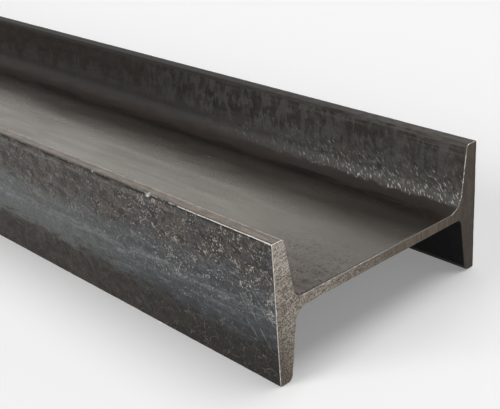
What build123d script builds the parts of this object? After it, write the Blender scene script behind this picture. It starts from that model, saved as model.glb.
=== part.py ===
"""Hot-rolled steel I-beam with tapered flanges, sawn to one metre.

The beam lies as in the photograph: the web is level, the flanges stand up
at its two sides, and the lower flange toes rest on the floor.
X runs along the beam, Y across its depth, Z up along the flanges' width.
The origin is the middle of the beam, at floor level.
"""

import os

from build123d import *

# Driving dimensions, in millimetres
LENGTH = 1000.0  # between the two sawn ends
DEPTH = 100.0  # over the outer faces of the two flanges
FLANGE_WIDTH = 50.0  # from toe to toe
FLANGE_THICKNESS = 6.8  # halfway between the flange's middle and its toe
FLANGE_SLOPE = 0.14  # run-out of the inner faces for each millimetre towards the toe
WEB_THICKNESS = 3.8
ROOT_RADIUS = 4.5  # fillet between web and flange
TOE_RADIUS = 2.7  # inner corner of each flange toe
ARRIS_RADIUS = 0.5  # outer corner of each flange toe, which the rolls leave nearly sharp

SECTION_PLANE = Plane(origin=(0, 0, FLANGE_WIDTH / 2), x_dir=(0, 1, 0), z_dir=(1, 0, 0))


def flange_thickness_at(height):
    """Thickness of a flange at this height above or below the middle of the web."""
    return FLANGE_THICKNESS + FLANGE_SLOPE * (FLANGE_WIDTH / 4 - height)


def quarter_corners():
    """One quarter of the section: (across, up, rounding) of each corner from web to toe."""
    half_depth = DEPTH / 2
    half_width = FLANGE_WIDTH / 2
    half_web = WEB_THICKNESS / 2
    return [
        (half_depth - flange_thickness_at(half_web), half_web, ROOT_RADIUS),
        (half_depth - flange_thickness_at(half_width), half_width, TOE_RADIUS),
        (half_depth, half_width, ARRIS_RADIUS),
    ]


def rolled_section():
    """The whole section as a face: a quarter, mirrored top to bottom, then turned half round."""
    upper = quarter_corners()
    lower = [(across, -up, rounding) for across, up, rounding in reversed(upper)]
    one_side = upper + lower
    other_side = [(-across, -up, rounding) for across, up, rounding in one_side]
    corners = one_side + other_side
    outline = FilletPolyline(
        *[(across, up) for across, up, _ in corners],
        radius=[rounding for _, _, rounding in corners],
        close=True,
    )
    return SECTION_PLANE * make_face(outline)


def i_beam():
    """The section run out both ways from the middle of the beam."""
    return extrude(rolled_section(), amount=LENGTH / 2, both=True)


beam = i_beam()
beam.label = "i_beam"
os.makedirs("parts", exist_ok=True)
export_step(beam, "parts/i_beam.step")
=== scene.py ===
"""Looks of a rolled steel I-beam: mill scale, worn arrises and sawn ends, on a plain pale floor.

The beam is one mesh that follows the rolled section and carries the relief of the scale, the nicks
and the saw marks. It stands for the solid beam of the frame. Lengths are in metres unless a comment
says otherwise; the shaders work in millimetres.
"""

import math

import bpy
from mathutils import Matrix, Vector, noise
from mathutils.geometry import delaunay_2d_cdt


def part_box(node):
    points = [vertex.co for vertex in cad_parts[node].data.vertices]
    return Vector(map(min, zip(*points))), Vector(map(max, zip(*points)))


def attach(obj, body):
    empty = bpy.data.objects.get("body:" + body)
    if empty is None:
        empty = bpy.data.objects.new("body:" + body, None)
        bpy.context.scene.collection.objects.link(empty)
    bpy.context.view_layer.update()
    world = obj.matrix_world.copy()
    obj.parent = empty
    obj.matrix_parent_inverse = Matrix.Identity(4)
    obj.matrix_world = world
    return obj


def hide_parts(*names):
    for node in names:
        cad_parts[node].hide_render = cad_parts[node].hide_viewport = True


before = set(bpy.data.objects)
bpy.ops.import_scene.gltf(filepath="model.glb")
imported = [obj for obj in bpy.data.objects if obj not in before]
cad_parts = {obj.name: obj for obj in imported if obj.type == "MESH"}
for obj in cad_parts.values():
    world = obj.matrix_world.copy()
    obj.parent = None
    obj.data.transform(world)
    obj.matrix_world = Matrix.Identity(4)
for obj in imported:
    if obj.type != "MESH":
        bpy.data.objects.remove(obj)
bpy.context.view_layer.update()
beam_low, beam_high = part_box("i_beam")

# Section, as in the part
MM = 0.001
DEPTH = beam_high.y - beam_low.y
FLANGE_WIDTH = beam_high.z - beam_low.z
FLANGE_THICKNESS = 6.8 * MM
FLANGE_SLOPE = 0.14
WEB_THICKNESS = 3.8 * MM
TOE_RADIUS = 2.7 * MM
ARRIS_RADIUS = 0.5 * MM
MIDDLE = (beam_low.z + beam_high.z) / 2
FRONT = beam_high.x
BACK = beam_low.x

# Rolling and sawing errors: sharper toes, a web that meets the near flange a little high and the far one
# a little low, a near flange that is thicker by the web and a far one that is thicker above it, uneven
# roots, and a front cut that leans back towards the floor
UPPER_TOE_RADIUS = 1.4 * MM
NEAR_LOWER_TOE_RADIUS = 1.9 * MM
WEB_RISE = 1.3 * MM
WEB_FALL = 0.9 * MM
NEAR_FLANGE_EXTRA = 0.4 * MM
NEAR_TOE_EXTRA = 0.15 * MM
FAR_FLANGE_EXTRA = 0.5 * MM
NEAR_UPPER_ROOT_RADIUS = 3.6 * MM
NEAR_LOWER_ROOT_RADIUS = 4.6 * MM
FAR_UPPER_ROOT_RADIUS = 6.3 * MM
FAR_LOWER_ROOT_RADIUS = 2.5 * MM
CUT_LEAN = 0.55 * MM
CUT_LEAN_REACH = 20 * MM

# Mesh density
FINE_STEP = 0.35 * MM
STEP_GROWTH = 1.35
STATION_STEP = 1.0 * MM
STATION_STEP_MOST = 7.0 * MM
STATION_FINE_LENGTH = 80 * MM
STATION_GROWTH = 0.013
STATION_SHARE_LEFT = 0.2
CAP_STEP = 0.8 * MM
CAP_MARGIN = 0.3 * MM
JOIN_DISTANCE = 1e-7
SHARP_ANGLE = math.radians(38)

# Relief of the scale; sizes are along X, Y and Z, and pairs say where a change starts and ends
WAVE_DEPTH = 0.10 * MM
WAVE_LENGTH = 28 * MM
PEBBLE_DEPTH = 0.09 * MM
INNER_PEBBLE_DEPTH = 1.5 * PEBBLE_DEPTH
PEBBLE_LENGTH = 3.2 * MM
PEBBLE_WIDTH = 1.5 * MM
PEBBLE_TURN = math.radians(55)
PEBBLES_PAST_ROOT = (4.0 * MM, 7.5 * MM)
PEBBLES_UP_FLANGE = (9 * MM, 20 * MM)
PEBBLES_BACK = (60 * MM, 260 * MM)
SMOOTH_BAND_RISE = 1.0 * MM
SMOOTH_BAND_EDGE = (5 * MM, 12 * MM)
SMOOTH_BAND_SHARE = 0.75
FLAKE_DEPTH = 0.04 * MM
FLAKE_SIZE = (18 * MM, 9 * MM, 9 * MM)
ROLL_LINE_DEPTH = 0.05 * MM
ROLL_LINE_SIZE = (30 * MM, 0.9 * MM, 4 * MM)

# Outer arrises: worn strips, and on the near upper one a bright stretch, a lip over a groove with painted
# shadow in it, and nicks
WEAR_CORE = 0.2 * MM
WEAR_WIDTH = 0.45 * MM
WEAR_EXTRA_WIDTH = 0.2 * MM
WEAR_EXTRA_LENGTH = (12 * MM, 30 * MM)
WEAR_GRAIN = 2.2 * MM
WEAR_SPOT_SIZE = (7 * MM, 20 * MM, 20 * MM)
BRIGHT_ARRIS_LENGTH = 49 * MM
LIP_DEPTH = 0.4 * MM
LIP_REACH = 6 * MM
LIP_PATCH_LENGTH = 8 * MM
GROOVE_TOP = (0.2 * MM, 0.45 * MM)
GROOVE_FOOT = (0.75 * MM, 1.4 * MM)
GROOVE_INWARDS = (0.1 * MM, 0.6 * MM)
# Each nick: distance from the front end, width and depth
NICKS = [
    (89.9 * MM, 1.0 * MM, 0.45 * MM),
    (58.8 * MM, 1.8 * MM, 0.6 * MM),
    (104.0 * MM, 0.6 * MM, 0.2 * MM),
    (171.0 * MM, 0.9 * MM, 0.35 * MM),
]

# Sawn ends
BURR_WIDTH = 0.22 * MM
BURR_DEPTH = 0.2 * MM
BURR_GRAIN = 1.7 * MM
SAW_DEPTH = 0.03 * MM
SAW_PITCH = 1.6 * MM
SAW_TILT = math.radians(16)
SAW_DRIFT_LENGTH = 6 * MM
SAW_PATCH_LENGTH = 9 * MM
SAW_PATCH_HEIGHT = 4 * MM

# Material slots of the section's zones, of the end faces and of their burrs
MATERIAL_OF_ZONE = {"web": 0, "root": 1, "inner": 1, "under": 2, "outer": 3, "arris": 3, "toe": 4}
SAWN = 5
BURR = 6

# Places for the shaders in millimetres, across from the middle of the web, with the near flange at minus
WEB_NEAR_PART = (-38, -8)
WEB_CORNER_PART = (-38, 6)
WEB_FAR_PART = (8, 37)
WEB_FAR_ROOT = (23, 35)
WEB_DULL_ROOT = (30, 36)
NEAR_TO_FAR = (-10, 10)
NEAR_SHOULDER = -45.8
NEAR_ARRIS_STRIP = (-49.3, -48.6)
NEAR_SIDE_STRIP = (-49, -48)
NEAR_OUTER_PART = (-49, -45)
NEAR_OUTER_EDGE = (-46, -44)
NEAR_INNER_EDGE = (-36, -40)
FLANGE_FROM_WEB = (38, 40)
FAR_TOE_STRIP = (48.9, 49.5)
FAR_SIDE_STRIP = (48.2, 49.4)
WEB_TO_FAR_FLANGE = (32, 44)
FRESH_TO_BROWN = (-46, 30)
# Heights for the shaders in millimetres: a rise is above the middle of the web, the rest above the floor
BAND_FOOT_RISE = (-12.5, -7)
BAND_TOP_RISE = (13, 4)
UPPER_SCALE_RISE = (-10, 6)
FURROW_RISE = 3.2
LEDGE_RISE = 22.4
GROOVED_HEIGHT = 20
STRONG_MARKS_FROM = (20, 30)
DULL_CUT_BELOW = (36, 41)
DULLER_CUT_DOWN = (-2, 42)
BROWN_CUT_BELOW = (34, 26)
FAR_CUT_TOP = (42, 48)
BURR_BRIGHTER_UP = (0, 46)
BURR_UPPER_FROM = (24.5, 26)
TOE_HEIGHT = (48.8, 47.5)

# Camera, fitted to the edges of the beam in the photograph; the sensor's width is in millimetres
IMAGE_WIDTH = 500
SENSOR_WIDTH = 36.0
FOCAL_PIXELS = 1021.34
CAMERA_AZIMUTH = math.radians(48.547)
CAMERA_ELEVATION = math.radians(24.993)
CAMERA_ROLL = math.radians(-4.706)
CAMERA_FROM_END = Vector((192.47, -227.0, 160.24)) * MM
CLIP_START = 0.01

# Studio: the walls' top and the ceiling's start as the sine of the angle above the horizon, the change
# from the dim front to the back as the sine of the angle behind the beam, and two lights
WALL_TOP = 0.40
CEILING_FROM = 0.8
CEILING_SHADE = 0.25
FRONT_SHADE = 0.3
FRONT_TO_BACK = (-0.4, 0.3)
WALL_LIGHT = 0.5
FLOOR_SIZE = 30
FLOOR_GLOW = 0.22
TOP_LIGHT_SIDE = Vector((0.1, 0.3, 1.1))
TOP_LIGHT_SPREAD = math.radians(40)
TOP_LIGHT_STRENGTH = 1.35
FRONT_LIGHT_SIDE = Vector((-0.3, -0.75, 0.4))
FRONT_LIGHT_SPREAD = math.radians(32)
FRONT_LIGHT_STRENGTH = 1.65


def srgb(red, green, blue):
    """A colour given as it shows on a screen, 0 to 255, for a shader socket."""
    linear = [((c / 255 + 0.055) / 1.055) ** 2.4 if c > 10 else c / 255 / 12.92 for c in (red, green, blue)]
    return (*linear, 1.0)


def smooth(value, low, high):
    """0 at low, 1 at high, and an even slope between."""
    share = min(1.0, max(0.0, (value - low) / (high - low)))
    return share * share * (3 - 2 * share)


def scaled(place, size):
    """A place measured in steps of this size along X, Y and Z."""
    return Vector((place.x / size[0], place.y / size[1], place.z / size[2]))


# Section outline


def flange_thickness_at(height):
    """Thickness of a flange at this height above or below the middle of the web."""
    return FLANGE_THICKNESS + FLANGE_SLOPE * (FLANGE_WIDTH / 4 - height)


def section_corners():
    """Corners of the section, anticlockwise seen from the front end.

    Each is across, up, rounding, its steps and zone, and the step and zone of the run that follows it.
    """
    half_depth = DEPTH / 2
    half_width = FLANGE_WIDTH / 2
    half_web = WEB_THICKNESS / 2
    near_above, near_below = half_web + WEB_RISE, half_web - WEB_RISE
    far_above, far_below = half_web - WEB_FALL, half_web + WEB_FALL
    near_root = half_depth - NEAR_FLANGE_EXTRA - flange_thickness_at(near_above)
    near_root_below = half_depth - NEAR_FLANGE_EXTRA - flange_thickness_at(near_below)
    far_root = half_depth - FAR_FLANGE_EXTRA - flange_thickness_at(far_above)
    far_root_below = half_depth - flange_thickness_at(far_below)
    toe = half_depth - flange_thickness_at(half_width)
    return [
        (far_root, far_above, FAR_UPPER_ROOT_RADIUS, 7, "root", 2.5 * MM, "web"),
        (-near_root, near_above, NEAR_UPPER_ROOT_RADIUS, 5, "root", 2.0 * MM, "inner"),
        (-toe, half_width, UPPER_TOE_RADIUS, 5, "toe", 0.5 * MM, "toe"),
        (-half_depth, half_width, ARRIS_RADIUS, 3, "arris", 1.0 * MM, "outer"),
        (-half_depth, -half_width, ARRIS_RADIUS, 2, "arris", 1.0 * MM, "toe"),
        (NEAR_TOE_EXTRA - toe, -half_width, NEAR_LOWER_TOE_RADIUS, 3, "toe", 4.0 * MM, "under"),
        (-near_root_below, -near_below, NEAR_LOWER_ROOT_RADIUS, 4, "under", 5.0 * MM, "under"),
        (far_root_below, -far_below, FAR_LOWER_ROOT_RADIUS, 4, "under", 4.0 * MM, "under"),
        (toe, -half_width, TOE_RADIUS, 3, "toe", 1.0 * MM, "toe"),
        (half_depth, -half_width, ARRIS_RADIUS, 2, "arris", 2.2 * MM, "outer"),
        (half_depth, half_width, ARRIS_RADIUS, 3, "arris", 0.5 * MM, "toe"),
        (toe - FAR_FLANGE_EXTRA, half_width, UPPER_TOE_RADIUS, 5, "toe", 0.9 * MM, "inner"),
    ]


def graded(length, fine, coarse):
    """Places along a run, closer together towards its two ends, with one at its middle."""
    places = []
    reach, step = 0.0, fine
    while reach < length / 2:
        reach += step
        places.append(reach)
        step = min(step * STEP_GROWTH, coarse)
    near = [place * (length / 2) / reach for place in places]
    return near + [length - place for place in reversed(near[:-1])]


def corner_arc(before, corner, after, radius, steps):
    """Points and outward normals of the rounding of one corner."""
    back_way = (before - corner).normalized()
    on_way = (after - corner).normalized()
    half_angle = back_way.angle(on_way) / 2
    centre = corner + (back_way + on_way).normalized() * radius / math.sin(half_angle)
    start = corner + back_way * radius / math.tan(half_angle) - centre
    end = corner + on_way * radius / math.tan(half_angle) - centre
    turn = end.angle_signed(start)
    outward = 1 if turn > 0 else -1
    arc = []
    for step in range(steps + 1):
        spoke = Matrix.Rotation(turn * step / steps, 2) @ start
        arc.append((centre + spoke, spoke.normalized() * outward))
    return arc


def section_loop():
    """Points round the section as (across, up), their outward normals, and the zone that follows each."""
    corners = section_corners()
    arcs = []
    for index, (across, up, radius, steps, _, _, _) in enumerate(corners):
        before = Vector(corners[index - 1][:2])
        after = Vector(corners[(index + 1) % len(corners)][:2])
        arcs.append(corner_arc(before, Vector((across, up)), after, radius, steps))
    points, normals, zones = [], [], []
    for index, arc in enumerate(arcs):
        arc_zone, run_step, run_zone = corners[index][4:]
        for place, normal in arc:
            points.append(place)
            normals.append(normal)
            zones.append(arc_zone)
        zones[-1] = run_zone
        start = arc[-1][0]
        run = arcs[(index + 1) % len(arcs)][0][0] - start
        normal = Vector((run.y, -run.x)).normalized()
        fine = min(FINE_STEP * 2 if run_zone in ("web", "under") else FINE_STEP, run_step)
        for reach in graded(run.length, fine, run_step):
            points.append(start + run.normalized() * reach)
            normals.append(normal)
            zones.append(run_zone)
    return points, normals, zones


def stations():
    """Places along the beam, close together at the front end and wider apart towards the back."""
    places = [FRONT, FRONT - BURR_WIDTH]
    while places[-1] > BACK + BURR_WIDTH:
        reach = FRONT - places[-1]
        step = STATION_STEP + STATION_GROWTH * max(0.0, reach - STATION_FINE_LENGTH)
        left = places[-1] - BACK - BURR_WIDTH
        step = min(step, STATION_STEP_MOST, max(STATION_STEP, STATION_SHARE_LEFT * left))
        places.append(places[-1] - step)
    places[-1] = BACK + BURR_WIDTH
    places.append(BACK)
    return places[::-1]


# Relief of the surface


def pebbles(place):
    """Low ridges that run aslant down the flange faces, 0 to 1."""
    along = (place.x * math.cos(PEBBLE_TURN) - place.z * math.sin(PEBBLE_TURN)) / PEBBLE_LENGTH
    over = (place.x * math.sin(PEBBLE_TURN) + place.z * math.cos(PEBBLE_TURN)) / PEBBLE_WIDTH
    return abs(noise.noise(Vector((along, place.y / PEBBLE_WIDTH, over))))


def relief(place, zone):
    """How deep the surface lies under the rolled section here."""
    depth = WAVE_DEPTH * (0.5 + 0.5 * noise.noise(place / WAVE_LENGTH))
    if zone in ("outer", "arris"):
        band = 1 - smooth(abs(place.z - MIDDLE - SMOOTH_BAND_RISE), *SMOOTH_BAND_EDGE)
        depth += PEBBLE_DEPTH * (1.0 - SMOOTH_BAND_SHARE * band) * pebbles(place)
        flakes = noise.fractal(scaled(place, FLAKE_SIZE), 1.0, 2.0, 3)
        depth += FLAKE_DEPTH * smooth(flakes, 0.0, 0.15)
    elif zone in ("inner", "root", "under"):
        height = abs(place.z - MIDDLE)
        past_root = smooth(height, *PEBBLES_PAST_ROOT)
        low_on_flange = 1 - smooth(height, *PEBBLES_UP_FLANGE)
        near_end = 0.45 + 0.55 * (1 - smooth(FRONT - place.x, *PEBBLES_BACK))
        share = past_root * (0.2 + 0.8 * low_on_flange * near_end)
        depth += INNER_PEBBLE_DEPTH * share * pebbles(place)
    elif zone == "web":
        depth *= 0.5
    elif zone == "toe":
        depth += ROLL_LINE_DEPTH * (0.5 + 0.5 * noise.noise(scaled(place, ROLL_LINE_SIZE)))
    return depth


def arris_wear(place):
    """Bare metal on the outer arrises: all along the near upper one by the front end, in spots elsewhere."""
    from_front = FRONT - place.x
    from_arris = math.hypot(abs(place.y) - DEPTH / 2, abs(place.z - MIDDLE) - FLANGE_WIDTH / 2)
    at_end = 1 - smooth(from_front, *WEAR_EXTRA_LENGTH)
    uneven = noise.noise(Vector((place.x / WEAR_GRAIN, 0.4, 1.9)))
    width = (WEAR_WIDTH + WEAR_EXTRA_WIDTH * at_end) * (1 + 0.6 * uneven)
    on_arris = 1 - smooth(from_arris, WEAR_CORE, width)
    spots = noise.noise(scaled(place, WEAR_SPOT_SIZE))
    bright = 0.0
    if place.y < 0 and place.z > MIDDLE:
        bright = 1 - smooth(from_front, 0.95 * BRIGHT_ARRIS_LENGTH, BRIGHT_ARRIS_LENGTH)
    return on_arris * max(bright * max(0.7, 0.72 + 0.45 * spots), 0.5 * smooth(spots, 0.1, 0.5))


def near_lip(place):
    """The lip and nicks along the upper outer arris of the near flange: depth, wear and painted shadow under
    the lip.
    """
    from_arris = math.hypot(place.y - beam_low.y, place.z - beam_high.z)
    if from_arris > LIP_REACH or place.y > 0:
        return 0.0, 0.0, 0.0
    from_front = FRONT - place.x
    under = beam_high.z - place.z
    patchy = 0.5 + 0.5 * noise.noise(Vector((from_front / LIP_PATCH_LENGTH, 3.1, 0.7)))
    rolled_lip = 0.55 + 0.45 * smooth(from_front, 0.9 * BRIGHT_ARRIS_LENGTH, 1.1 * BRIGHT_ARRIS_LENGTH)
    rolled_lip *= smooth(patchy, 0.2, 0.6) * smooth(from_front, 0.0, LIP_PATCH_LENGTH)
    groove = smooth(under, *GROOVE_TOP) * (1 - smooth(under, *GROOVE_FOOT))
    on_face = 1 - smooth(place.y - beam_low.y, *GROOVE_INWARDS)
    # Painted shadow in the groove under the lip
    lip_shadow = rolled_lip * groove * on_face
    depth = LIP_DEPTH * lip_shadow
    wear = 0.0
    for distance, width, nick_depth in NICKS:
        along = (from_front - distance) / width
        reach = math.exp(-along * along - (from_arris / (1.2 * width)) ** 2)
        depth += nick_depth * reach
        wear = max(wear, 0.6 * smooth(reach, 0.3, 0.75))
        lip_shadow *= 1 - smooth(math.exp(-along * along), 0.2, 0.6)
    return depth, wear, lip_shadow


# Beam mesh


def inside_section(across, up):
    """Whether a point of the end face lies well inside the section."""
    near_share = 0.5 - across / (DEPTH - 2 * FLANGE_THICKNESS)
    above_web = up - WEB_RISE * near_share + WEB_FALL * (1 - near_share)
    across, up = abs(across), abs(up)
    in_web = abs(above_web) < WEB_THICKNESS / 2 - CAP_MARGIN and across < DEPTH / 2 - CAP_MARGIN
    inner = DEPTH / 2 - flange_thickness_at(up) + CAP_MARGIN
    toe_corner = TOE_RADIUS if across < DEPTH / 2 - TOE_RADIUS else CAP_MARGIN
    in_flange = inner < across < DEPTH / 2 - CAP_MARGIN and up < FLANGE_WIDTH / 2 - toe_corner
    return in_web or in_flange


def cap_points():
    """Points inside the end face, in rows along the saw marks."""
    found = []
    reach = math.hypot(DEPTH, FLANGE_WIDTH) / 2
    count = int(reach / CAP_STEP)
    for row in range(-2 * count, 2 * count + 1):
        for column in range(-count, count + 1):
            along = (column + 0.5 * (row % 2)) * CAP_STEP
            over = row * CAP_STEP / 2
            across = along * math.cos(SAW_TILT) - over * math.sin(SAW_TILT)
            up = along * math.sin(SAW_TILT) + over * math.cos(SAW_TILT)
            if inside_section(across, up):
                found.append(Vector((across, up)))
    return found


def saw_depth(across, up):
    """Depth of the saw marks on an end face."""
    over = up * math.cos(SAW_TILT) - across * math.sin(SAW_TILT)
    drift = 0.6 * noise.noise(Vector((across, up, 0.0)) / SAW_DRIFT_LENGTH)
    patch = noise.noise(Vector((across / SAW_PATCH_LENGTH, up / SAW_PATCH_HEIGHT, 7.3)))
    strength = 0.55 + 0.45 * patch
    return SAW_DEPTH * strength * (0.5 + 0.5 * math.sin(2 * math.pi * (over / SAW_PITCH + drift)))


def cut_back(x, z):
    """How far the front cut draws the beam back at this place along it and above the floor."""
    at_cut = 1 - smooth(FRONT - x, 0.0, CUT_LEAN_REACH)
    return CUT_LEAN * at_cut * (beam_high.z - z) / FLANGE_WIDTH


def side_points(loop, places):
    """Points of the long faces, ring by ring from the back end, and the wear and the painted shadow under the
    lip at each.
    """
    vertices, wears, lip_shadows = [], [], []
    for x in places:
        at_end = x in (places[0], places[-1])
        for point, normal, zone in zip(*loop):
            place = Vector((x, point.x, point.y + MIDDLE))
            lip_depth, lip_wear, lip_shadow = near_lip(place)
            depth = relief(place, zone) + lip_depth
            if at_end:
                depth += BURR_DEPTH * (0.7 + 0.5 * noise.noise(place / BURR_GRAIN))
            vertices.append(place - Vector((cut_back(x, place.z), normal.x * depth, normal.y * depth)))
            wears.append(max(lip_wear, arris_wear(place)))
            lip_shadows.append(lip_shadow)
    return vertices, wears, lip_shadows


def side_faces(zones, rings):
    """Faces between the rings, and the material slot of each."""
    around = len(zones)
    faces, slots = [], []
    for row in range(rings - 1):
        at_end = row in (0, rings - 2)
        for column, zone in enumerate(zones):
            here = row * around + column
            beside = row * around + (column + 1) % around
            faces.append((here, beside, beside + around, here + around))
            slots.append(BURR if at_end else MATERIAL_OF_ZONE[zone])
    return faces, slots


def end_face(rim, rim_start, inner_points, inner_start, x, inwards):
    """An end face with its saw marks: the points inside its rim, and triangles over both by number."""
    around = len(rim)
    flat = [Vector((place.y, place.z - MIDDLE)) for place in rim] + inner_points
    found, _, triangles, sources, _, _ = delaunay_2d_cdt(flat, [], [list(range(around))], 1, JOIN_DISTANCE)
    inside, numbers = [], []
    for place, source in zip(found, sources):
        if source and source[0] < around:
            numbers.append(rim_start + source[0])
            continue
        numbers.append(inner_start + len(inside))
        up = place.y + MIDDLE
        depth = inwards * saw_depth(place.x, place.y) - cut_back(x, up)
        inside.append(Vector((x + depth, place.x, up)))
    order = 1 if inwards < 0 else -1
    return inside, [[numbers[corner] for corner in triangle][::order] for triangle in triangles]


def build_beam(materials):
    """The whole beam as one closed mesh with its relief."""
    loop = section_loop()
    around = len(loop[0])
    places = stations()
    vertices, wears, lip_shadows = side_points(loop, places)
    faces, slots = side_faces(loop[2], len(places))
    inner_points = cap_points()
    for ring, x, inwards in ((len(places) - 1, FRONT, -1), (0, BACK, 1)):
        rim_start = ring * around
        rim = vertices[rim_start:rim_start + around]
        inside, triangles = end_face(rim, rim_start, inner_points, len(vertices), x, inwards)
        vertices += inside
        wears += [0.0] * len(inside)
        lip_shadows += [0.0] * len(inside)
        faces += triangles
        slots += [SAWN] * len(triangles)
    mesh = bpy.data.meshes.new("i_beam_skin")
    mesh.from_pydata(vertices, [], faces)
    for material in materials:
        mesh.materials.append(material)
    mesh.polygons.foreach_set("material_index", slots)
    mesh.polygons.foreach_set("use_smooth", [True] * len(faces))
    mesh.attributes.new("wear", "FLOAT", "POINT").data.foreach_set("value", wears)
    mesh.attributes.new("lip_shadow", "FLOAT", "POINT").data.foreach_set("value", lip_shadows)
    mesh.set_sharp_from_angle(angle=SHARP_ANGLE)
    mesh.validate()
    piece = bpy.data.objects.new("i_beam_skin", mesh)
    bpy.context.collection.objects.link(piece)
    return piece


# Shader helper

# Numbers of a Mix node's sockets for the share and two values, and of its result, by kind of value
MIX_SOCKETS = {"RGBA": ((0, 6, 7), 2), "FLOAT": ((0, 2, 3), 0)}


class Shader:
    """A material and short ways to add its nodes; places and feature sizes are in millimetres."""

    def __init__(self, name):
        self.material = bpy.data.materials.new(name)
        self.material.use_nodes = True
        self.tree = self.material.node_tree
        self.surface = self.tree.nodes["Principled BSDF"]
        coordinates = self.add("ShaderNodeTexCoord").outputs["Object"]
        in_mm = self.add("ShaderNodeVectorMath", operation="SCALE", Vector=coordinates, Scale=1 / MM)
        self.place = in_mm.outputs[0]
        self.x, self.y, self.z = self.add("ShaderNodeSeparateXYZ", Vector=self.place).outputs

    def add(self, kind, operation=None, **sockets):
        """A node with these sockets set to values or linked to other nodes' outputs."""
        node = self.tree.nodes.new(kind)
        if operation:
            node.operation = operation
        for name, value in sockets.items():
            self.put(node.inputs[name.replace("_", " ")], value)
        return node

    def put(self, socket, value):
        """Sets a socket to a value, or links an output to it."""
        if isinstance(value, bpy.types.NodeSocket):
            self.tree.links.new(value, socket)
        else:
            socket.default_value = value

    def math(self, operation, first, second=0.0):
        """One sum with numbers or other nodes' outputs."""
        node = self.add("ShaderNodeMath", operation=operation)
        self.put(node.inputs[0], first)
        self.put(node.inputs[1], second)
        return node.outputs[0]

    def times(self, first, *others):
        """The product of all that is given."""
        for other in others:
            first = self.math("MULTIPLY", first, other)
        return first

    def plus(self, first, second):
        """The sum of two."""
        return self.math("ADD", first, second)

    def minus(self, first, second):
        """The first less the second."""
        return self.math("SUBTRACT", first, second)

    def larger(self, first, second):
        """The larger of two."""
        return self.math("MAXIMUM", first, second)

    def away(self, value, middle):
        """How far a value lies from a middle one, on either side."""
        return self.math("ABSOLUTE", self.minus(value, middle))

    def from_front(self):
        """Distance back from the front end."""
        return self.minus(FRONT / MM, self.x)

    def far_side(self):
        """0 on the near half of the beam, 1 on the far half."""
        return self.ramp(self.y, *NEAR_TO_FAR)

    def ramp(self, value, low, high, start=0.0, end=1.0):
        """Goes smoothly from start, at low, to end, at high."""
        node = self.add("ShaderNodeMapRange")
        node.interpolation_type = "SMOOTHSTEP"
        for socket, given in zip(node.inputs, (value, low, high, start, end)):
            self.put(socket, given)
        return node.outputs[0]

    def noise(self, size, detail=2.0, roughness=0.5, turn=(0.0, 0.0, 0.0), distortion=0.0):
        """Noise with features of this size along X, Y and Z, turned about those axes."""
        mapping = self.add("ShaderNodeMapping", Vector=self.place)
        mapping.vector_type = "TEXTURE"
        mapping.inputs["Rotation"].default_value = turn
        mapping.inputs["Scale"].default_value = size
        node = self.add("ShaderNodeTexNoise", Vector=mapping.outputs[0], Scale=1.0, Detail=detail)
        node.inputs["Roughness"].default_value = roughness
        node.inputs["Distortion"].default_value = distortion
        return node.outputs["Fac"]

    def swing(self, reach, *size_and_detail, distortion=0.0):
        """Noise that swings to both sides of zero, with this reach from side to side."""
        return self.times(self.minus(self.noise(*size_and_detail, distortion=distortion), 0.5), reach)

    def mixed(self, kind, *values):
        """The result of a Mix node for one kind of value, given the share and the two values."""
        node = self.tree.nodes.new("ShaderNodeMix")
        node.data_type = kind
        inputs, result = MIX_SOCKETS[kind]
        for number, value in zip(inputs, values):
            self.put(node.inputs[number], value)
        return node.outputs[result]

    def mix(self, share, first, second):
        """One colour changed into another by a share of 0 to 1."""
        return self.mixed("RGBA", share, first, second)

    def coat(self, under, over, *shares):
        """One colour laid over another by the product of some shares of 0 to 1."""
        return self.mix(self.times(*shares), under, over)

    def blend(self, share, first, second):
        """One number changed into another by a share of 0 to 1."""
        return self.mixed("FLOAT", share, first, second)

    def attribute(self, name):
        """A value that the mesh holds at each point."""
        node = self.tree.nodes.new("ShaderNodeAttribute")
        node.attribute_name = name
        return node.outputs["Fac"]

    def wear(self):
        """Share of bare metal, broken up finely."""
        return self.ramp(self.plus(self.attribute("wear"), self.noise((1.4, 0.9, 0.9), 2)), 0.75, 1.15)

    def bump(self, height, depth_mm, over=None):
        """Fine relief of this depth, on top of other relief."""
        node = self.add("ShaderNodeBump", Height=height, Distance=depth_mm * MM)
        if over:
            self.put(node.inputs["Normal"], over)
        return node.outputs["Normal"]

    def finish(self, colour, roughness, metal=None, normal=None, refraction=None):
        """The material, with its surface set."""
        given = {
            "Base Color": colour,
            "Roughness": roughness,
            "Metallic": metal,
            "Normal": normal,
            "IOR": refraction,
        }
        for name, value in given.items():
            if value is not None:
                self.put(self.surface.inputs[name], value)
        return self.material


# Materials

# Turns of slanting noise, sizes of the pressed ridges in millimetres, and the noise at the islands' edge
SLANT = (0.0, PEBBLE_TURN, 0.0)
INNER_SLANT = (0.0, math.radians(42), 0.0)
SAW_SLANT = (SAW_TILT, 0.0, 0.0)
RIDGE_SIZE = (2.1, 0.9, 0.9)
ISLAND_EDGE = 0.545
ISLAND_EDGE_BLUR = 0.015

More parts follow.
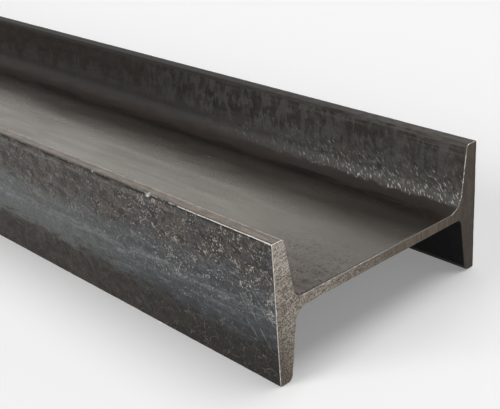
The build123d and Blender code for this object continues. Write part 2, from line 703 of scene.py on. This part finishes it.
# Colours of scale, dirt, flakes and steel, and of painted shade, sheen and highlights
BROWN_SCALE = srgb(80, 74, 68)
DARK_SCALE = srgb(44, 40, 36)
LOWER_SCALE = srgb(60, 53, 47)
LOWER_DARK = srgb(29, 25, 21)
BLUE_SCALE = srgb(64, 68, 72)
BLUE_STREAK = srgb(97, 102, 106)
BLUE_DARK = srgb(42, 46, 50)
BLUE_CREST = srgb(122, 126, 128)
PALE_FLAKE_AND_HIGHLIGHT = srgb(150, 143, 135)
BRIGHT_FLAKE_AND_GLINT = srgb(194, 188, 180)
GREY_BAND = srgb(97, 100, 97)
WEB_SCALE = srgb(142, 137, 129)
WEB_DARK = srgb(112, 107, 100)
WEB_DIRT_AND_SHADE = srgb(58, 48, 39)
WEB_RED = srgb(80, 54, 42)
WEB_SPOT = srgb(72, 58, 54)
INNER_SCALE = srgb(52, 50, 47)
INNER_BROWN = srgb(48, 43, 39)
INNER_DARK = srgb(27, 23, 20)
INNER_DRIP = srgb(31, 22, 14)
GLINT = srgb(196, 194, 190)
INNER_PALE = srgb(84, 81, 77)
FLAKE_GREY = srgb(84, 86, 86)
PALE_RIM_AND_SHEEN_GREY = srgb(112, 109, 104)
ROOT_BROWN = srgb(62, 50, 43)
UNDER_PAINTED_SHADE = srgb(22, 21, 20)
TOE_SCALE = srgb(136, 127, 117)
TOE_DARK = srgb(108, 99, 90)
TOE_ARRIS_DARK = srgb(70, 60, 52)
BARE_STEEL_AND_HIGHLIGHT = srgb(232, 228, 222)
SAWN_STEEL = srgb(210, 201, 189)
SAWN_DARK = srgb(88, 82, 75)
SAWN_DULL = srgb(144, 131, 117)
SAWN_BROWN = srgb(48, 39, 30)
SAWN_RUST = srgb(76, 62, 48)
WEB_END_RUST = srgb(109, 94, 77)
WEB_BURR = srgb(120, 112, 103)
FLANGE_BURR = srgb(150, 141, 132)
PIT = srgb(14, 13, 13)
FLOOR_GREY = srgb(238, 238, 238)


def ridges(s):
    """Short slanting ridges that the rolls press into the flange faces, 0 to 1."""
    return s.ramp(s.noise(RIDGE_SIZE, 1, turn=SLANT, distortion=0.5), 0.47, 0.72)


def web_scale():
    """Upper face of the web: smooth satin scale, faint lines along the rolling, dark stains by the near root,
    spots and pits by the end, and painted shade by the front end and towards the far root.
    """
    s = Shader("web_scale")
    from_front = s.from_front()
    by_near_root = s.ramp(s.y, *WEB_NEAR_PART, 1.0, 0.0)
    by_far_root = s.ramp(s.y, *WEB_FAR_PART)
    at_far_root = s.ramp(s.y, *WEB_FAR_ROOT)
    dull_root = s.ramp(s.y, *WEB_DULL_ROOT)
    by_corner = s.times(s.ramp(from_front, 5, 70, 1.0, 0.0), s.ramp(s.y, *WEB_CORNER_PART, 1.0, 0.0))
    streaks = s.noise((70, 5, 5), 2)
    # Faint streaks along the rolling, and darker towards the front end as painted shade of the satin
    # reflection
    streaks_and_end_shade = s.larger(s.ramp(streaks, 0.35, 0.7, 0.2, 0.7), s.ramp(from_front, 10, 100, 0.9, 0.0))
    colour = s.mix(streaks_and_end_shade, WEB_SCALE, WEB_DARK)
    dirt_and_shade = s.times(
        s.ramp(s.noise((9, 5, 5), 4, 0.6), 0.35, 0.65, 0.3, 1.0),
        by_near_root,
        s.ramp(from_front, 10, 90, 0.75, 0.45),
    )
    # Darker towards the far root: painted shade, laid over the dark stains by the near root
    dirt_and_shade = s.larger(dirt_and_shade, s.times(by_far_root, 0.58))
    reddish = s.ramp(s.noise((30, 9, 9), 3, 0.6), 0.42, 0.6)
    colour = s.mix(dirt_and_shade, colour, s.mix(reddish, WEB_DIRT_AND_SHADE, WEB_RED))
    # Darkest at the far root, in the crease by the fillet: painted shade, with real rust patches
    root_shade = s.mix(s.ramp(from_front, 50, 90, 0.0, 0.5), INNER_DARK, INNER_BROWN)
    colour = s.mix(at_far_root, colour, s.mix(reddish, root_shade, ROOT_BROWN))
    grain = s.noise((0.6, 0.5, 0.5), 3, 0.65)
    specks = s.ramp(grain, 0.6, 0.7)
    colour = s.coat(colour, PALE_FLAKE_AND_HIGHLIGHT, specks, s.ramp(from_front, 15, 90, 0.5, 0.05))
    spots = s.ramp(s.noise((2.4, 3, 3), 4, 0.65), 0.5, 0.66)
    colour = s.coat(colour, WEB_SPOT, spots, by_corner, 0.6)
    pits = s.times(s.ramp(s.noise((0.8, 1.0, 1.0), 1), 0.63, 0.66), by_corner)
    colour = s.mix(pits, colour, PIT)
    satin = s.ramp(s.noise((30, 6, 6), 4), 0.3, 0.7, 0.2, 0.28)
    metal = s.ramp(dull_root, 0.0, 1.0, 0.85, 0.5)
    fine = s.bump(s.times(s.minus(grain, pits), s.ramp(by_corner, 0, 1, 0.5, 1.2)), 0.04)
    waves = s.bump(s.noise((14, 7, 7), 3), 0.04, fine)
    return s.finish(colour, s.blend(dull_root, satin, 0.6), metal, waves)


def inner_ground(s, height, from_front, near_end):
    """Brown and grey scale, paler by the front end as painted light, with dark blotches and dark runs from
    the toe.
    """
    patches = s.ramp(s.noise((16, 16, 9), 4, 0.6), 0.42, 0.58)
    colour = s.mix(patches, INNER_BROWN, INNER_SCALE)
    # Paler by the front end: painted light
    colour = s.coat(colour, INNER_PALE, near_end, s.ramp(height, 8, 18, 0.85, 0.6))
    blotches = s.times(
        s.ramp(s.noise((11, 11, 8), 4, 0.62), 0.46, 0.6),
        s.ramp(height, 8, 15, 0.15, 1.0),
        s.ramp(from_front, 120, 240, 1.0, 0.4),
        s.ramp(near_end, 0.1, 1.0, 1.0, 0.5),
    )
    colour = s.mix(blotches, colour, INNER_DARK)
    hanging = s.ramp(s.plus(height, s.swing(34.0, (5, 5, 14), 4, 0.6)), 9, 16, 0.1, 0.9)
    return s.coat(colour, INNER_DRIP, hanging, s.ramp(from_front, 100, 260, 0.1, 1.0))


def inner_flakes(s, colour, height, from_front):
    """Grey flakes with pale rims on the upper part of the flange, and dark places between them."""
    flaky = s.times(
        s.ramp(from_front, 20, 90, 0.75, 1.0),
        s.ramp(from_front, 100, 220, 1.0, 0.15),
        s.ramp(height, 6, 11),
    )
    shape = s.noise((3.6, 3.6, 8), 4, 0.6, distortion=0.4)
    colour = s.coat(colour, INNER_DRIP, s.ramp(shape, 0.55, 0.42), s.ramp(height, 9, 17, 0.1, 0.6), flaky)
    colour = s.coat(colour, FLAKE_GREY, s.ramp(shape, 0.47, 0.6, 0.0, 0.45), flaky)
    rims = s.ramp(s.away(shape, 0.52), 0.004, 0.02, 1.0, 0.0)
    broken = s.ramp(s.noise((4, 4, 3), 2), 0.46, 0.6, 0.0, 0.5)
    return s.coat(colour, PALE_RIM_AND_SHEEN_GREY, rims, broken, flaky)


def inner_root(s, colour, height, torn, from_front, near_end):
    """The fillet between flange and web, darkened with painted shade, rusty in patches next to the web."""
    # Darker in the fillet: painted shade in the crease
    fillet = s.ramp(torn, 3.2, 7.0, 1.0, 0.0)
    colour = s.coat(colour, INNER_DARK, fillet, s.ramp(from_front, 20, 100, 0.8, 0.55))
    rusty = s.times(
        s.ramp(torn, 4.0, 2.8),
        s.ramp(s.noise((12, 4, 3), 3), 0.4, 0.6, 0.3, 0.9),
        s.ramp(near_end, 0.5, 1.0, 1.0, 0.6),
        s.ramp(height, 0.9, 2.4, 0.2, 1.0),
    )
    return s.mix(rusty, colour, ROOT_BROWN)


def inner_strokes(s, colour, height, torn, from_front, near_end):
    """Pressed strokes low on the flange by the front end, with painted sheen on them, painted shade between
    them, a painted sheen along the root and painted glints: the colour and the relief.
    """
    groups = s.ramp(s.noise((9, 9, 6), 2), 0.35, 0.6, 0.45, 1.0)
    pressed = s.times(groups, near_end, s.ramp(height, 8, 19, 1.0, 0.3), s.ramp(torn, 2.3, 3.4))
    strokes = s.noise((2.6, 40, 0.85), 2, turn=INNER_SLANT, distortion=0.4)
    # Lighter crests of the strokes: painted sheen; darker gaps between them: painted shade
    colour = s.coat(colour, PALE_RIM_AND_SHEEN_GREY, s.ramp(strokes, 0.5, 0.62), pressed, 0.36)
    colour = s.coat(colour, INNER_DARK, s.ramp(strokes, 0.5, 0.38), pressed, 0.7)
    fringe = s.times(
        s.ramp(torn, 4.2, 7.5, 0.85, 0.0),
        s.ramp(from_front, 20, 140, 1.0, 0.0),
        s.ramp(torn, 2.2, 3.0),
    )
    # Pale fringe along the root: painted sheen
    colour = s.coat(colour, PALE_RIM_AND_SHEEN_GREY, fringe, 0.4)
    many = s.larger(fringe, s.times(pressed, s.ramp(height, 6, 17, 0.85, 0.15)))
    sparks = s.times(s.noise((1.9, 40, 0.42), 1, turn=INNER_SLANT, distortion=0.4), 0.6)
    sparks = s.plus(sparks, s.times(strokes, 0.4))
    sparks = s.plus(sparks, s.times(many, 0.08))
    # Glints: painted highlights in the colour
    glints = s.times(
        s.ramp(sparks, 0.61, 0.68, 0.0, 0.9),
        s.ramp(s.noise((4, 4, 4), 1), 0.35, 0.6, 0.45, 1.0),
        s.ramp(from_front, 35, 100, 1.0, 0.25),
        s.ramp(many, 0.03, 0.3),
    )
    return s.mix(glints, colour, GLINT), s.times(strokes, pressed)


def inner_scale():
    """Inner flange faces and roots: dark flaky scale, with bright pressed strokes low down by the end, and
    painted light and shade: paler by the end, darker in the fillet, sheen and glints on the strokes.
    """
    s = Shader("inner_scale")
    height = s.away(s.z, MIDDLE / MM)
    from_front = s.from_front()
    near_end = s.ramp(from_front, 10, 170, 1.0, 0.1)
    colour = inner_ground(s, height, from_front, near_end)
    colour = inner_flakes(s, colour, height, from_front)
    roll_lines = s.times(s.ramp(s.noise((40, 2, 1.2), 3), 0.5, 0.62), s.ramp(height, 18, 22))
    colour = s.coat(colour, TOE_DARK, roll_lines, near_end, 0.35)
    torn = s.plus(height, s.swing(4.0, (4, 3, 2), 4, 0.65))
    colour = inner_root(s, colour, height, torn, from_front, near_end)
    colour, stroke_relief = inner_strokes(s, colour, height, torn, from_front, near_end)
    fine = s.bump(s.noise((0.45, 0.45, 0.45), 2), 0.015)
    coarse = s.bump(s.times(s.noise((6, 3, 3), 3), s.ramp(height, 6.0, 10.0)), 0.25, fine)
    return s.finish(colour, 0.55, normal=s.bump(stroke_relief, 0.3, coarse), refraction=1.4)


def under_scale_painted_shade():
    """Underside of the web and the flanges below it: dull scale, painted nearly black as shade."""
    s = Shader("under_scale_painted_shade")
    # Nearly black: painted shade under the web
    colour = s.mix(s.ramp(s.noise((15, 15, 10), 4, 0.6), 0.4, 0.62), PIT, UNDER_PAINTED_SHADE)
    return s.finish(colour, 0.55, normal=s.bump(ridges(s), 0.1), refraction=1.3)


def flange_ground(s, upper, from_front):
    """Mottled brown scale, darker below the band, and darkest there by the front end as painted shade."""
    mottle = s.ramp(s.noise((4, 4, 2.5), 5, 0.65), 0.38, 0.62)
    top_scale = s.mix(mottle, DARK_SCALE, BROWN_SCALE)
    low_scale = s.mix(mottle, LOWER_DARK, LOWER_SCALE)
    # Darkest below the band by the front end: painted shade
    low_scale = s.mix(s.ramp(from_front, 0, 120, 0.88, 0.0), low_scale, LOWER_DARK)
    return s.mix(upper, low_scale, top_scale)


def flange_blue(s, level, wisps, torn, from_front):
    """Blue-grey of the band and the islands: streaks, a furrow darkened as painted shade, a pale crest and
    dark grit, greyer away.
    """
    streaks = s.ramp(s.noise((22, 5, 1.3), 4, 0.6, distortion=0.3), 0.42, 0.68)
    blue = s.mix(streaks, BLUE_SCALE, BLUE_STREAK)
    blue = s.mix(s.ramp(from_front, 40, 130, 0.0, 0.75), blue, GREY_BAND)
    # Dark strip along the furrow: painted shade
    furrow_shade = s.ramp(s.away(level, FURROW_RISE), 0.5, 2.2, 0.6, 0.0)
    blue = s.coat(blue, BLUE_DARK, furrow_shade, s.ramp(from_front, 30, 90, 1.0, 0.35))
    crest = s.ramp(s.away(s.plus(level, s.times(wisps, 0.5)), 0.0), 0.3, 2.6, 1.0, 0.0)
    broken = s.ramp(s.noise((14, 6, 2.0), 5, 0.7, distortion=0.6), 0.38, 0.62)
    blue = s.coat(blue, BLUE_CREST, crest, broken)
    grit = s.ramp(s.noise((2.2, 1.4, 0.9), 4, 0.65), 0.35, 0.62, 0.6, 0.0)
    blue = s.coat(blue, BLUE_DARK, grit, s.ramp(from_front, 60, 140, 1.0, 0.5))
    return s.coat(blue, BLUE_DARK, s.ramp(torn, -3, -11, 0.0, 0.85), s.ramp(from_front, 80, 55))


def flange_wisps(s, colour, torn, from_front):
    """Soft pale wisps all over, and groups of longer strokes away from the front end."""
    soft_wisps = s.times(
        s.ramp(s.noise((4.5, 2.0, 1.1), 3, turn=SLANT), 0.5, 0.68),
        s.ramp(from_front, 30, 110, 0.12, 0.17),
        s.ramp(torn, -12, 9, 0.35, 1.0),
    )
    colour = s.mix(soft_wisps, colour, PALE_FLAKE_AND_HIGHLIGHT)
    long_strokes = s.times(
        s.ramp(s.noise((3.2, 2.0, 1.0), 1, turn=SLANT), 0.6, 0.67),
        s.ramp(s.noise((12, 8, 8), 2), 0.45, 0.58),
        s.ramp(from_front, 70, 140, 0.0, 0.45),
        s.ramp(torn, -12, 4, 0.3, 1.0),
    )
    return s.mix(long_strokes, colour, PALE_FLAKE_AND_HIGHLIGHT)


def flange_flecks(s, shape, islands, clusters):
    """Bright rims of the islands, dashes and curls, painted as highlights on the flake edges, and the dark
    marks among them, painted shade beside the flakes with some dark pits, as two shares.
    """
    # Bright rims and dashes: painted highlights on the flake edges; curls: pale marks
    rim = s.ramp(s.away(shape, ISLAND_EDGE), 0.004, 0.014, 1.0, 0.0)
    rim = s.times(rim, s.ramp(s.noise((3.5, 3, 3), 2), 0.48, 0.6))
    flecks = s.noise((0.9, 0.65, 0.55), 1, turn=SLANT)
    dashes = s.times(s.ramp(flecks, 0.64, 0.675), clusters, s.ramp(islands, 0, 1, 1.0, 0.2))
    curl_line = s.away(s.noise((3.2, 2.4, 2.4), 1, distortion=0.5), 0.5)
    curls = s.times(s.ramp(curl_line, 0.006, 0.03, 1.0, 0.0), s.ramp(s.noise((3, 3, 3), 2), 0.54, 0.6), 0.35)
    return s.larger(rim, s.larger(dashes, curls)), s.ramp(flecks, 0.4, 0.32, 0.0, 0.85)


def flange_scale():
    """Outer flange faces: brown scale with blue-grey islands and a blue-grey band along the middle, with
    painted highlights and shade on the flakes, a painted highlight below the upper arris and a painted shadow
    under the lip.
    """
    s = Shader("flange_scale")
    from_front = s.from_front()
    above = s.minus(s.z, MIDDLE / MM)
    level = s.plus(above, s.swing(6.0, (40, 40, 30), 2))
    wisps = s.swing(20.0, (13, 7, 4), 6, 0.66, distortion=0.8)
    torn = s.plus(level, wisps)
    upper = s.ramp(torn, *UPPER_SCALE_RISE)
    sag = s.times(s.ramp(from_front, 80, 55, 0.0, 2.6), s.ramp(from_front, 5, 25, 0.3, 1.0))
    band = s.times(s.ramp(s.plus(torn, sag), *BAND_FOOT_RISE), s.ramp(torn, *BAND_TOP_RISE))
    blue = flange_blue(s, level, wisps, torn, from_front)
    shape = s.noise((8, 6, 5.5), 4, 0.6, distortion=0.7)
    islands = s.ramp(shape, ISLAND_EDGE - ISLAND_EDGE_BLUR, ISLAND_EDGE + ISLAND_EDGE_BLUR)
    colour = s.coat(flange_ground(s, upper, from_front), blue, islands, upper, 0.5)
    colour = s.coat(colour, blue, band, 0.9)
    lost = s.ramp(s.noise((8, 5, 5), 5, 0.65, distortion=0.8), 0.53, 0.57, 0.0, 0.55)
    colour = s.coat(colour, DARK_SCALE, lost, s.ramp(from_front, 40, 110, 0.25, 1.0), s.blend(band, 1.0, 0.1))
    colour = flange_wisps(s, colour, torn, from_front)
    clusters = s.ramp(s.noise((7, 6, 6), 3, 0.6), 0.42, 0.58, 0.2, 1.0)
    many = s.times(s.ramp(from_front, 20, 110, 1.0, 0.35), s.ramp(torn, -10, 4, 0.22, 1.0))
    flecks, dents_and_shade = flange_flecks(s, shape, islands, clusters)
    scratches = s.times(
        s.ramp(s.noise((9, 40, 0.45), 1, turn=SLANT), 0.69, 0.74),
        s.ramp(from_front, 8, 30, 0.55, 0.0),
        band,
    )
    # Dark marks beside the flakes are painted shade, with some dark pits; the bright flecks over them are
    # painted highlights on flake edges, with real scratches
    colour = s.coat(colour, PIT, dents_and_shade, many)
    colour = s.coat(colour, BRIGHT_FLAKE_AND_GLINT, s.larger(s.times(flecks, many), scratches), 0.9)
    pits = s.ramp(s.noise((1.3, 1.0, 0.8), 1), 0.7, 0.75)
    colour = s.mix(pits, colour, PIT)
    # Pale line below the upper arris: painted highlight of a low ridge
    ledge_highlight = s.times(
        s.ramp(s.away(above, LEDGE_RISE), 0.3, 0.9, 0.4, 0.0),
        s.ramp(s.noise((6, 2, 2), 3), 0.35, 0.6),
        s.ramp(from_front, 20, 50, 0.1, 0.7),
    )
    colour = s.mix(ledge_highlight, colour, PALE_FLAKE_AND_HIGHLIGHT)
    # Dark line under the near upper arris: painted shadow under the lip
    lip_shadow = s.ramp(s.plus(s.attribute("lip_shadow"), s.noise((2.5, 1, 1), 2)), 0.65, 1.05)
    colour = s.mix(lip_shadow, colour, PIT)
    wear = s.wear()
    colour = s.mix(wear, colour, BARE_STEEL_AND_HIGHLIGHT)
    fine = s.bump(s.noise((0.4, 0.4, 0.4), 2), 0.03)
    coarse = s.bump(s.noise((5, 3, 3), 4, 0.6), 0.3, fine)
    flaked = s.bump(islands, 0.06, coarse)
    rough_parts = s.times(many, s.ramp(clusters, 0, 1, 0.45, 1.0))
    pressed = s.times(ridges(s), s.blend(band, rough_parts, 0.15))
    pitted = s.bump(s.minus(pressed, pits), 0.12, flaked)
    return s.finish(colour, s.blend(band, 0.55, 0.42), wear, pitted, refraction=1.35)


def toe_scale():
    """Flange toes: warm grey with lines along the rolling and a painted highlight along the near toe's inner
    shoulder; on the far flange as dark as its inner face.
    """
    s = Shader("toe_scale")
    from_front = s.from_front()
    far = s.far_side()
    lines = s.noise((30, 0.7, 2.0), 3)
    mottle = s.noise((5, 2, 2), 3)
    grey = s.mix(s.ramp(s.plus(lines, mottle), 0.8, 1.2), TOE_DARK, TOE_SCALE)
    # Light line along the near toe's inner shoulder: painted highlight
    shoulder_highlight = s.ramp(s.away(s.y, NEAR_SHOULDER), 0.2, 0.45, 0.7, 0.0)
    grey = s.coat(grey, BRIGHT_FLAKE_AND_GLINT, shoulder_highlight, s.ramp(mottle, 0.35, 0.6, 0.35, 1.0))
    flecks = s.ramp(s.noise((1.1, 0.6, 0.6), 2), 0.6, 0.68)
    grey = s.coat(grey, BRIGHT_FLAKE_AND_GLINT, flecks, s.ramp(from_front, 10, 60, 0.45, 0.15))
    # Darker strip along the near outer arris
    by_arris = s.ramp(s.y, *NEAR_ARRIS_STRIP, 0.7, 0.0)
    grey = s.coat(grey, TOE_ARRIS_DARK, by_arris, s.ramp(mottle, 0.35, 0.6, 0.4, 1.0))
    lined = s.ramp(s.plus(s.noise((25, 0.5, 0.6), 3, 0.6), mottle), 0.85, 1.1)
    dark = s.coat(INNER_DARK, INNER_PALE, lined, s.ramp(from_front, 10, 160, 0.6, 0.05))
    dark = s.mix(s.ramp(from_front, 0, 60, 0.25, 0.0), dark, TOE_DARK)
    dark = s.mix(s.ramp(s.y, *FAR_TOE_STRIP, 0.0, 0.8), dark, TOE_DARK)
    wear = s.wear()
    colour = s.mix(wear, s.mix(far, grey, dark), BARE_STEEL_AND_HIGHLIGHT)
    return s.finish(colour, s.blend(far, 0.45, 0.6), wear, s.bump(lines, 0.05), refraction=1.4)


def sawn_pale(s, pattern):
    """Fresh cut by the near flange: pale steel, duller and browner low down."""
    pale = s.mix(s.ramp(pattern, 0.3, 0.7), SAWN_DARK, SAWN_STEEL)
    dull = s.mix(s.ramp(pattern, 0.4, 0.6), SAWN_BROWN, SAWN_DULL)
    low = s.larger(s.ramp(s.z, *DULL_CUT_BELOW, 0.42, 0.0), s.ramp(s.z, *DULLER_CUT_DOWN, 1.0, 0.0))
    pale = s.mix(low, pale, dull)
    outer_part = s.ramp(s.y, *NEAR_OUTER_PART, 0.3, 0.0)
    return s.coat(pale, SAWN_BROWN, outer_part, s.ramp(s.z, *BROWN_CUT_BELOW))


def sawn_brown(s, grain):
    """Rusty cut by the far flange, stained, with streaks down it and a dark outer edge."""
    brown = s.mix(s.ramp(grain, 0.3, 0.7), SAWN_BROWN, SAWN_RUST)
    brown = s.coat(WEB_END_RUST, brown, s.ramp(s.y, *WEB_TO_FAR_FLANGE), s.ramp(s.z, *FAR_CUT_TOP, 1.0, 0.7))
    stains = s.ramp(s.noise((3, 1.6, 4), 4, 0.65), 0.42, 0.6, 0.0, 0.3)
    brown = s.mix(stains, brown, WEB_END_RUST)
    drawn = s.ramp(s.noise((1, 1.3, 9), 3), 0.35, 0.65)
    outer_edge = s.ramp(s.y, *FAR_SIDE_STRIP)
    return s.mix(s.larger(s.times(drawn, 0.55), s.times(outer_edge, 0.8)), brown, SAWN_BROWN)


def sawn_steel():
    """End faces: grainy bare steel with saw marks, darker low down and brown towards the far flange."""
    s = Shader("sawn_steel")
    marks = s.noise((1.0, 3.0, 0.32), 1, turn=SAW_SLANT)
    grain = s.noise((0.5, 0.5, 0.4), 2, 0.6)
    by_web = s.ramp(s.away(s.z, GROOVED_HEIGHT), 3, 10, 1.0, 0.0)
    strength = s.larger(s.ramp(s.z, *STRONG_MARKS_FROM, 0.3, 0.6), s.times(by_web, 0.5))
    pattern = s.plus(s.times(s.minus(marks, 0.5), strength), grain)
    grooves = s.ramp(s.noise((1.0, 9.0, 0.45), 1, turn=SAW_SLANT), 0.64, 0.7)
    pattern = s.minus(pattern, s.times(grooves, by_web, 0.22))
    fresh = s.ramp(s.y, *FRESH_TO_BROWN, 1.0, 0.0)
    colour = s.mix(fresh, sawn_brown(s, grain), sawn_pale(s, pattern))
    metal = s.ramp(fresh, 0.0, 1.0, 0.0, 0.6)
    return s.finish(colour, s.ramp(fresh, 0.0, 1.0, 0.65, 0.45), metal, s.bump(pattern, 0.05))


def burr_steel():
    """Burrs left by the saw: near-white above and along the near side, brighter upwards, as a painted
    highlight of the cut edges; dull on the near inner edge and below.
    """
    s = Shader("burr_steel")
    far = s.far_side()
    patchy = s.ramp(s.noise((1.2, 1.2, 1.2), 2), 0.42, 0.62)
    on_flange = s.ramp(s.away(s.y, 0.0), *FLANGE_FROM_WEB)
    # Near-white edges: painted highlight of the cut edges
    edge_highlight = s.times(patchy, s.larger(on_flange, s.blend(far, 0.75, 0.15)))
    edge_highlight = s.larger(edge_highlight, s.blend(far, 0.3, 0.1))
    along_cut = s.times(
        s.ramp(s.z, *BURR_BRIGHTER_UP, 0.3, 0.9),
        s.ramp(s.noise((3, 3, 4), 3), 0.35, 0.6, 0.45, 1.0),
        s.ramp(s.y, *NEAR_OUTER_EDGE, 1.0, 0.0),
    )
    edge_highlight = s.larger(edge_highlight, along_cut)
    bright = s.mix(edge_highlight, s.mix(on_flange, WEB_BURR, FLANGE_BURR), BARE_STEEL_AND_HIGHLIGHT)
    on_side = s.ramp(s.y, *NEAR_SIDE_STRIP, 1.0, 0.0)
    near_inner = s.minus(s.ramp(s.y, *NEAR_INNER_EDGE), on_side)
    bright = s.coat(bright, SAWN_DULL, near_inner, s.ramp(s.z, *TOE_HEIGHT))
    upper = s.larger(on_side, s.ramp(s.z, *BURR_UPPER_FROM))
    colour = s.mix(upper, SAWN_BROWN, bright)
    return s.finish(colour, 0.35, s.ramp(upper, 0, 1, 0.1, 0.45))


# Stage


def add_floor():
    """A wide pale floor that keeps the beam's shadow and shows as white where it is lit."""
    bpy.ops.mesh.primitive_plane_add(size=FLOOR_SIZE, location=(0, 0, beam_low.z))
    floor = bpy.context.object
    floor.name = "floor"
    s = Shader("floor")
    tree = s.tree
    s.finish(FLOOR_GREY, 0.9)
    s.surface.inputs["Specular IOR Level"].default_value = 0.0
    path = s.add("ShaderNodeLightPath").outputs
    mirrored = s.larger(path["Is Glossy Ray"], path["Is Transmission Ray"])
    seen = s.larger(path["Is Camera Ray"], mirrored)
    glow = s.add("ShaderNodeEmission", Strength=s.times(seen, FLOOR_GLOW))
    both = s.add("ShaderNodeAddShader")
    tree.links.new(s.surface.outputs[0], both.inputs[0])
    tree.links.new(glow.outputs[0], both.inputs[1])
    tree.links.new(both.outputs[0], tree.nodes["Material Output"].inputs["Surface"])
    floor.data.materials.append(s.material)


def add_world():
    """White walls, dimmer in front and overhead. The camera sees them white; they light more softly."""
    world = bpy.data.worlds.new("surroundings")
    bpy.context.scene.world = world
    world.use_nodes = True
    tree = world.node_tree

    def node(kind, operation=None, *inputs):
        """The outputs of a new node, with its first inputs set or linked."""
        made = tree.nodes.new(kind)
        if operation:
            made.operation = operation
        for socket, value in zip(made.inputs, inputs):
            if isinstance(value, bpy.types.NodeSocket):
                tree.links.new(value, socket)
            else:
                socket.default_value = value
        return made.outputs

    way = node("ShaderNodeTexCoord")["Generated"]
    rise = node("ShaderNodeSeparateXYZ", None, way)["Z"]
    back = node("ShaderNodeSeparateXYZ", None, way)["Y"]
    ceiling = node("ShaderNodeMapRange", None, rise, WALL_TOP, CEILING_FROM, 1.0, CEILING_SHADE)[0]
    front = node("ShaderNodeMapRange", None, back, *FRONT_TO_BACK, FRONT_SHADE, 1.0)[0]
    walls = node("ShaderNodeMath", "MULTIPLY", ceiling, front)[0]
    path = node("ShaderNodeLightPath")
    mirrored = node("ShaderNodeMath", "MAXIMUM", path["Is Glossy Ray"], path["Is Transmission Ray"])[0]
    level = node("ShaderNodeMapRange", None, mirrored, 0.0, 1.0, WALL_LIGHT, 1.0)[0]
    shaded = node("ShaderNodeMath", "MULTIPLY", walls, level)[0]
    seen = node("ShaderNodeMath", "MAXIMUM", shaded, path["Is Camera Ray"])[0]
    background = tree.nodes["Background"]
    background.inputs["Color"].default_value = (1.0, 1.0, 1.0, 1.0)
    tree.links.new(seen, background.inputs["Strength"])


def add_soft_light(name, side, spread, strength):
    """A broad light from one side, given as a way out from the beam, that is even over the whole floor."""
    light = bpy.data.lights.new(name, "SUN")
    light.angle = spread
    light.energy = strength
    lamp = bpy.data.objects.new(name, light)
    lamp.location = side
    lamp.rotation_euler = side.to_track_quat("Z", "Y").to_euler()
    bpy.context.collection.objects.link(lamp)


def add_camera():
    """The photograph's camera, placed from the middle of the front end."""
    data = bpy.data.cameras.new("camera")
    data.sensor_width = SENSOR_WIDTH
    data.lens = FOCAL_PIXELS / IMAGE_WIDTH * SENSOR_WIDTH
    data.clip_start = CLIP_START
    camera = bpy.data.objects.new("camera", data)
    back = Vector((
        math.sin(CAMERA_AZIMUTH) * math.cos(CAMERA_ELEVATION),
        -math.cos(CAMERA_AZIMUTH) * math.cos(CAMERA_ELEVATION),
        math.sin(CAMERA_ELEVATION),
    ))
    right = Vector((0, 0, 1)).cross(back).normalized()
    turn = Matrix.Rotation(CAMERA_ROLL, 3, back)
    right = turn @ right
    up = back.cross(right)
    camera.matrix_world = Matrix.Translation(Vector((FRONT, 0, MIDDLE)) + CAMERA_FROM_END) @ Matrix((
        (right.x, up.x, back.x),
        (right.y, up.y, back.y),
        (right.z, up.z, back.z),
    )).to_4x4()
    bpy.context.collection.objects.link(camera)
    bpy.context.scene.camera = camera


beam = build_beam([
    web_scale(),
    inner_scale(),
    under_scale_painted_shade(),
    flange_scale(),
    toe_scale(),
    sawn_steel(),
    burr_steel(),
])
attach(beam, "root")
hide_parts("i_beam")

add_floor()
add_world()
add_soft_light("top", TOP_LIGHT_SIDE, TOP_LIGHT_SPREAD, TOP_LIGHT_STRENGTH)
add_soft_light("front", FRONT_LIGHT_SIDE, FRONT_LIGHT_SPREAD, FRONT_LIGHT_STRENGTH)
add_camera()
bpy.context.scene.view_settings.view_transform = "Standard"
